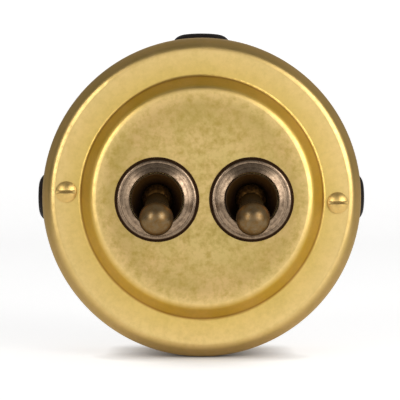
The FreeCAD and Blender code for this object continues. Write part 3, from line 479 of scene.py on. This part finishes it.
class SWITCH_OT_levers(bpy.types.Operator):
    """Bezels, bushes and dollies of both switches"""
    bl_idname = "switch.levers"
    bl_label = "Bezels and dollies"

    def execute(self, context):
        finish = context.scene.switch_finish
        dress(bezel_bronze(finish), *both_sides("bezel"))
        # Bored brass: brown at the mouth, and dark deeper in as painted shade.
        dress(worn_metal("Brass, bored and bronze plated", finish.bronze_mid, finish.bore_shade,
                         reach=6 * MM, low=0.36, high=0.48, bare=0.8),
              *both_sides("bush"))
        dress(dolly_bronze(finish), *both_sides("dolly"))
        return {"FINISHED"}


class SWITCH_OT_box(bpy.types.Operator):
    """Cast box behind the lid"""
    bl_idname = "switch.box"
    bl_label = "Box"

    def execute(self, context):
        finish = context.scene.switch_finish
        # Sand cast: matt, with the grain of the sand, and darker in the hollows as painted shade.
        dress(plain_metal("Brass, sand cast", finish.cast, finish.bronze_stain_and_shade,
                          grain=finish.sand, low=0.42, high=0.58),
              "back_box")
        return {"FINISHED"}


def entry_mouth():
    """Middle of the open entry's mouth, level with the conduit's face beside it."""
    mounts = frame["record"]["mounts"]
    face = next(mount["pos_m"] for mount in mounts if mount["name"] == "conduit_face")
    return Vector((0, *face[1:]))


def thread_ridge(name, mouth, radius, pitch):
    """Ridge of an inside thread that climbs from the mouth of an upright hole and runs out at both ends."""
    count = int(THREAD_TURNS * THREAD_STEPS)
    shape = bmesh.new()
    rings = []
    for step in range(count + 1):
        turn = 2 * math.pi * step / THREAD_STEPS
        taper = min(1.0, step / THREAD_RUN_OUT, (count - step) / THREAD_RUN_OUT)
        climb = pitch * (0.5 + step / THREAD_STEPS)
        ring = []
        for lift, reach in ((-THREAD_HALF, 0.0), (0.0, taper), (THREAD_HALF, 0.0)):
            near = radius + THREAD_SINK - THREAD_DEPTH * pitch * reach
            ring.append(shape.verts.new((near * math.cos(turn), near * math.sin(turn), climb + lift * pitch)))
        rings.append(ring)
    for low, high in zip(rings, rings[1:]):
        for corner in range(3):
            after = (corner + 1) % 3
            shape.faces.new((low[corner], low[after], high[after], high[corner]))
    shape.faces.new(rings[0])
    shape.faces.new(rings[-1])
    bmesh.ops.recalc_face_normals(shape, faces=shape.faces)
    mesh = bpy.data.meshes.new(name)
    shape.to_mesh(mesh)
    shape.free()
    ridge = bpy.data.objects.new(name, mesh)
    ridge.location = mouth
    bpy.context.collection.objects.link(ridge)
    return ridge


class SWITCH_OT_thread(bpy.types.Operator):
    """Thread cut in the open conduit entry"""
    bl_idname = "switch.thread"
    bl_label = "Entry thread"

    def execute(self, context):
        finish = context.scene.switch_finish
        ridge = thread_ridge("entry_thread", entry_mouth(), ENTRY_RADIUS, finish.thread)
        # Cut with a tap: bright against the casting, and darkened towards the casting's colour in its grooves
        # as painted shade.
        ridge.data.materials.append(plain_metal("Brass, tapped", finish.terminal, finish.cast,
                                                grain=0.8 * MM, low=0.25, high=0.36))
        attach(ridge, "box")
        return {"FINISHED"}


class SWITCH_OT_plugs(bpy.types.Operator):
    """Stoppers of three conduit entries"""
    bl_idname = "switch.plugs"
    bl_label = "Plugs"

    def execute(self, context):
        finish = context.scene.switch_finish
        # Moulded rubber: near black, with a dull sheen on its round shoulder.
        dress(plain_moulding("Rubber, moulded", finish.plug,
                             grain=2.0 * MM, low=0.55, high=0.70, ior=1.52, gloss=0.12),
              "top_plug", "left_plug", "right_plug")
        return {"FINISHED"}


class SWITCH_OT_insides(bpy.types.Operator):
    """Housings, terminals, rockers and small steel parts behind the lid"""
    bl_idname = "switch.insides"
    bl_label = "Insides"

    def execute(self, context):
        finish = context.scene.switch_finish
        # Phenolic moulding: glossy dark brown with a flow mottle.
        dress(plain_moulding("Phenolic, moulded", finish.moulding,
                             grain=4.0 * MM, low=0.22, high=0.34, ior=1.6, gloss=0.5),
              *both_sides("switch_housing", "switch_base"))
        # Milled brass: bright, and darker in its hollows as painted shade.
        dress(plain_metal("Brass, milled", finish.terminal, finish.lid_stain_and_shade,
                          grain=1.4 * MM, low=0.2, high=0.32),
              "earth_washer", "earth_screw",
              *both_sides("rocker", "common_terminal", "upper_terminal", "lower_terminal", "terminal_screws"))
        # Drawn steel: grey with fine marks, and darker in its hollows as painted shade.
        dress(plain_metal("Steel, drawn", finish.steel, finish.bronze_stain_and_shade,
                          grain=0.6 * MM, low=0.22, high=0.34),
              *both_sides("pivot_pin", "plunger", "plunger_spring", "rivets"))
        return {"FINISHED"}


def direction(turn, rise):
    """Unit vector to the right of the front by one angle and above the horizon by the other."""
    return Vector((math.sin(turn) * math.cos(rise), -math.cos(turn) * math.cos(rise), math.sin(rise)))


def place(thing, way, distance, target=(0, 0, 0)):
    """Stand a lamp or the camera off a target, looking back at it."""
    bpy.context.collection.objects.link(thing)
    thing.location = Vector(target) + way * distance
    thing.rotation_euler = (-way).to_track_quat("-Z", "Y").to_euler()


def softbox(name, power, azimuth, elevation, wide, tall):
    """Two area lamps that look at the switch: the cloth of a softbox and its hot upright middle."""
    way = direction(math.radians(azimuth), math.radians(elevation))
    for part, distance, across, along, share in SOFTBOX_PARTS:
        data = bpy.data.lights.new(f"{name}_{part}", "AREA")
        data.shape = "RECTANGLE"
        data.size = wide * across
        data.size_y = tall * along
        data.energy = power * share
        place(bpy.data.objects.new(f"{name}_{part}", data), way, distance)


def coated_paper(stage):
    """Coated white paper: matt and even, grey where the switch shades it, with a painted shadow around the
    switch and painted shade towards its front edge.
    """
    made, tree, shader = start_material("Paper, coated", Base_Color=opaque(stage.paper), Roughness=0.8,
                                        Specular_IOR_Level=0.1, Emission_Color=(1, 1, 1, 1))
    where = add_node(tree, "TexCoord").outputs["Object"]
    # Paper fibres are far finer than 2 mm; they are drawn that coarse to show.
    fibre = add_node(tree, "TexNoise", {"Vector": where, "Scale": 1 / (2 * MM), "Detail": 3.0}).outputs[0]
    bump = add_node(tree, "Bump", {"Strength": 0.05, "Distance": 0.05 * MM, "Height": fibre}).outputs[0]
    path = add_node(tree, "LightPath")
    seen = add_node(tree, "Math", {0: path.outputs["Is Camera Ray"], 1: path.outputs["Is Glossy Ray"]},
                    operation="MAXIMUM").outputs[0]
    seen = add_node(tree, "Math", {0: seen, 1: path.outputs["Is Transmission Ray"]},
                    operation="MAXIMUM").outputs[0]
    # The lift is dimmed by occlusion and near the lid's toe: a painted shadow around where the switch stands.
    near = add_node(tree, "AmbientOcclusion", {"Distance": CONTACT_SHADOW}, samples=16).outputs["AO"]
    toe = add_node(tree, "VectorMath", {0: where, 1: LID_TOE}, operation="DISTANCE").outputs["Value"]
    toe = add_node(tree, "MapRange", {"Value": toe, "From Min": SHADOW_NEAR, "From Max": SHADOW_FAR,
                                      "To Min": 0.7, "To Max": 1.0},
                   interpolation_type="SMOOTHSTEP").outputs[0]
    shadow = add_node(tree, "Math", {0: near, 1: toe}, operation="MULTIPLY").outputs[0]
    # It also fades towards the front edge of the paper, which paints shade there.
    depth = add_node(tree, "SeparateXYZ", {0: where}).outputs["Y"]
    lift = add_node(tree, "MapRange", {"Value": depth, "From Min": FADE_FRONT, "From Max": FADE_BACK,
                                       "To Min": 0.2 * stage.lift, "To Max": stage.lift},
                    interpolation_type="SMOOTHSTEP").outputs[0]
    lift = add_node(tree, "Math", {0: shadow, 1: lift}, operation="MULTIPLY").outputs[0]
    lift = add_node(tree, "Math", {0: seen, 1: lift}, operation="MULTIPLY").outputs[0]
    join(tree, shader, Normal=bump, Emission_Strength=lift)
    return made


def paper_sweep(stage):
    """White paper laid on the floor and curved up behind the switch."""
    line = [(PAPER_FRONT, 0.0), (PAPER_BACK, 0.0)]
    for step in range(1, PAPER_STEPS + 1):
        bend = step * math.pi / 2 / PAPER_STEPS
        line.append((PAPER_BACK + PAPER_BEND * math.sin(bend), PAPER_BEND - PAPER_BEND * math.cos(bend)))
    line.append((PAPER_BACK + PAPER_BEND, PAPER_TOP))
    shape = bmesh.new()
    left, right = [[shape.verts.new((across, y, FLOOR + z)) for y, z in line]
                   for across in (-PAPER_HALF, PAPER_HALF)]
    for spot in range(len(line) - 1):
        shape.faces.new((left[spot], left[spot + 1], right[spot + 1], right[spot])).smooth = True
    mesh = bpy.data.meshes.new("paper_sweep")
    shape.to_mesh(mesh)
    shape.free()
    mesh.materials.append(coated_paper(stage))
    sweep = bpy.data.objects.new("paper_sweep", mesh)
    bpy.context.collection.objects.link(sweep)


def studio_world(stage):
    """Pale room: bright in front of the switch, dimmer to its sides, with a dark ceiling in front."""
    world = bpy.data.worlds.new("studio")
    bpy.context.scene.world = world
    world.use_nodes = True
    tree = world.node_tree
    way = add_node(tree, "SeparateXYZ", {0: add_node(tree, "TexCoord").outputs["Generated"]})
    side = add_node(tree, "MapRange", {"Value": way.outputs["X"], "From Min": -0.6, "From Max": 0.6,
                                       "To Min": stage.room_left, "To Max": stage.room_right}).outputs[0]
    front = add_node(tree, "MapRange", {"Value": way.outputs["Y"], "From Min": -0.25, "From Max": -0.92},
                     interpolation_type="SMOOTHSTEP").outputs[0]
    room = add_node(tree, "Mix", {"Factor": front, "A": side, "B": stage.room_front}).outputs[0]
    # The ceiling in front is dark, so that edges which face up turn dark as well.
    high = add_node(tree, "MapRange", {"Value": way.outputs["Z"], "From Min": 0.34, "From Max": 0.64},
                    interpolation_type="SMOOTHSTEP").outputs[0]
    ahead = add_node(tree, "MapRange", {"Value": way.outputs["Y"], "From Min": -0.1, "From Max": -0.6,
                                        "To Max": 0.85}).outputs[0]
    ceiling = add_node(tree, "Math", {0: high, 1: ahead}, operation="MULTIPLY").outputs[0]
    room = add_node(tree, "Mix", {"Factor": ceiling, "A": room, "B": stage.ceiling}).outputs[0]
    tree.nodes["Background"].inputs["Color"].default_value = (1, 1, 1, 1)
    tree.links.new(room, tree.nodes["Background"].inputs["Strength"])


class SWITCH_OT_stage(bpy.types.Operator):
    """Paper sweep, two softboxes, pale room and camera"""
    bl_idname = "switch.stage"
    bl_label = "Stage"

    def execute(self, context):
        stage = context.scene.switch_stage
        paper_sweep(stage)
        studio_world(stage)
        softbox("left_softbox", stage.left_lamp, azimuth=-37, elevation=16, wide=0.40, tall=0.75)
        softbox("right_softbox", stage.right_lamp, azimuth=40, elevation=17, wide=0.70, tall=0.80)
        data = bpy.data.cameras.new("camera")
        data.lens = stage.lens
        data.sensor_width = 36
        data.clip_start = 0.01
        camera = bpy.data.objects.new("camera", data)
        place(camera, direction(stage.turn, stage.height), stage.distance, stage.target)
        context.scene.camera = camera
        context.scene.view_settings.view_transform = "Standard"
        return {"FINISHED"}


OPERATORS = (
    SWITCH_OT_lid,
    SWITCH_OT_screws,
    SWITCH_OT_levers,
    SWITCH_OT_box,
    SWITCH_OT_thread,
    SWITCH_OT_plugs,
    SWITCH_OT_insides,
    SWITCH_OT_stage,
)


class SWITCH_PT_panel(bpy.types.Panel):
    """Settings and steps of the brass dolly switch"""
    bl_idname = "SWITCH_PT_panel"
    bl_label = "Brass dolly switch"
    bl_space_type = "VIEW_3D"
    bl_region_type = "UI"
    bl_category = "Switch"

    def draw(self, context):
        for group in (context.scene.switch_finish, context.scene.switch_stage):
            for name in group.__annotations__:
                self.layout.prop(group, name)
        for operator in OPERATORS:
            self.layout.operator(operator.bl_idname)


CLASSES = (SwitchFinish, SwitchStage, *OPERATORS, SWITCH_PT_panel)


def register():
    """Add the classes and the scene's settings."""
    for entry in CLASSES:
        bpy.utils.register_class(entry)
    bpy.types.Scene.switch_finish = PointerProperty(type=SwitchFinish)
    bpy.types.Scene.switch_stage = PointerProperty(type=SwitchStage)


def unregister():
    """Take the settings and the classes away again."""
    del bpy.types.Scene.switch_stage
    del bpy.types.Scene.switch_finish
    for entry in reversed(CLASSES):
        bpy.utils.unregister_class(entry)


def main():
    """Register and run every step."""
    register()
    bpy.ops.switch.lid()
    bpy.ops.switch.screws()
    bpy.ops.switch.levers()
    bpy.ops.switch.box()
    bpy.ops.switch.thread()
    bpy.ops.switch.plugs()
    bpy.ops.switch.insides()
    bpy.ops.switch.stage()


if __name__ == "__main__":
    main()
